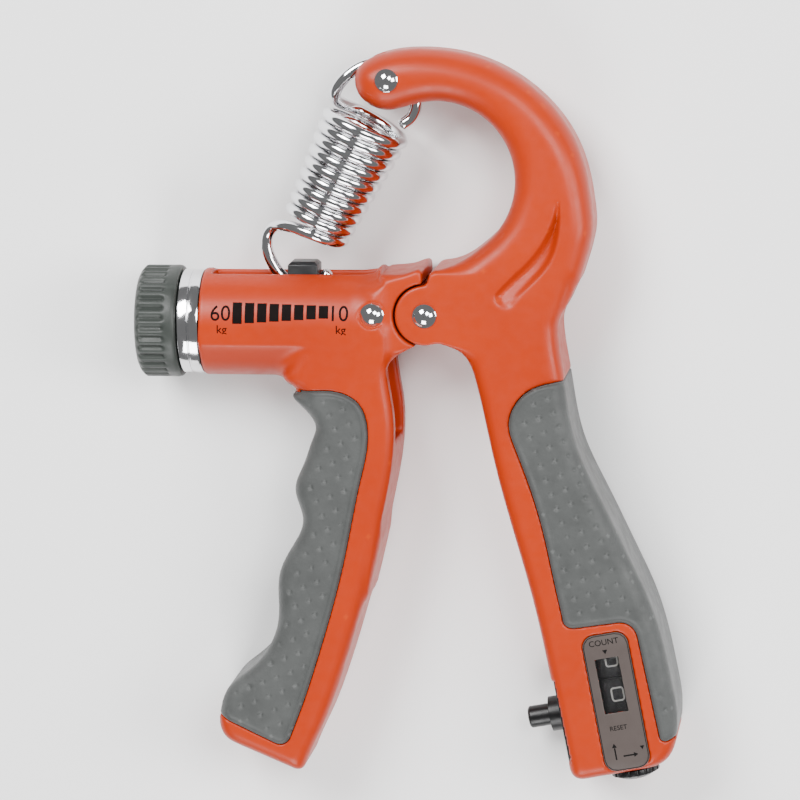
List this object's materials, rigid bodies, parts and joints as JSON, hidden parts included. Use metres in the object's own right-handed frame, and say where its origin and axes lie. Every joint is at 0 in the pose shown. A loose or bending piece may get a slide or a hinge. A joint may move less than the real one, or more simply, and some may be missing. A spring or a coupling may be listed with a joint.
{
  "type": "hand grip strengthener",
  "caption": "Adjustable sprung hand grip exerciser: hooked frame, pivoting finger handle, coil spring on a screw carriage, and a squeeze counter in the palm handle.",
  "frame": {"origin": "middle of the outline on the surface that it lies on, flat on its back", "axes": "+Y up the object towards the hook, +X towards the counter handle, +Z out of the printed face"},
  "size_m": [0.1167, 0.1574, 0.0242],
  "materials": {
    "shell": "satin moulded orange plastic",
    "grip": "soft grey grip with fine dimples",
    "chrome": "polished",
    "steel": "turned",
    "brass": "turned",
    "knob": "fine ribs, satin grey",
    "black": "satin black",
    "drum": "satin, light digits",
    "label": "satin warm grey",
    "lens": "clear"
  },
  "bodies": {
    "hook_frame": {"hook_frame": "shell", "palm_grip": "grip", "pivot_rivet": "chrome", "pivot_washers": "steel", "spring_pin": "chrome", "tension_spring": "chrome", "counter_case": "black", "side_plate": "black", "counter_label": "label", "counter_lens": "lens", "plunger_spring": "steel"},
    "left_handle": {"left_handle": "shell", "finger_grip": "grip", "pivot_sleeve": "brass", "end_bush": "brass", "bush_rivet": "chrome", "ferrule": "chrome", "screw_bearing": "brass"},
    "knob": {"tension_knob": "knob", "lead_screw": "steel", "thrust_washer": "steel", "knob_screw": "steel"},
    "carriage": {"spring_carriage": "black", "carriage_nut": "brass"},
    "plunger": {"plunger": "black", "feed_pawl": "steel"},
    "ones_drum": {"ones_drum": "drum"},
    "tens_drum": {"tens_drum": "drum"},
    "reset": {"reset_knob": "black", "reset_shaft": "steel"}
  },
  "joints": [
    {"name": "handle_squeeze", "type": "hinge", "parent": "hook_frame", "child": "left_handle", "pos_m": [0.0047, 0.0228, 0.0121], "axis": [0, 0, 1], "range_deg": [0, 26.5], "stiffness_Nm_per_rad": 8.5, "springref_deg": -16.62, "deforming": ["tension_spring"]},
    {"name": "knob_turn", "type": "hinge", "parent": "left_handle", "child": "knob", "pos_m": [-0.0523, 0.0199, 0.0121], "axis": [1, 0, 0], "range_deg": [-900, 2340]},
    {"name": "carriage_travel", "type": "slide", "parent": "left_handle", "child": "carriage", "axis": [1, 0, 0], "range_m": [-0.013, 0.005]},
    {"name": "plunger_press", "type": "slide", "parent": "hook_frame", "child": "plunger", "axis": [0.9829, 0.184, 0], "range_m": [0, 0.0032], "stiffness_N_per_m": 300, "springref_m": -0.002, "deforming": ["plunger_spring"]},
    {"name": "ones_turn", "type": "hinge", "parent": "hook_frame", "child": "ones_drum", "pos_m": [0.04555, -0.05866, 0.0158], "axis": [-0.184, 0.9829, 0], "continuous": true},
    {"name": "tens_turn", "type": "hinge", "parent": "hook_frame", "child": "tens_drum", "pos_m": [0.04411, -0.05099, 0.0158], "axis": [-0.184, 0.9829, 0], "continuous": true},
    {"name": "reset_turn", "type": "hinge", "parent": "hook_frame", "child": "reset", "pos_m": [0.0484, -0.0739, 0.0158], "axis": [-0.184, 0.9829, 0], "continuous": true}
  ],
  "couplings": [
    {"joint": "carriage_travel", "follows": "knob_turn", "m_per_rad": -0.00031831},
    {"joint": "tens_turn", "follows": "ones_turn", "ratio": 0.1}
  ]
}
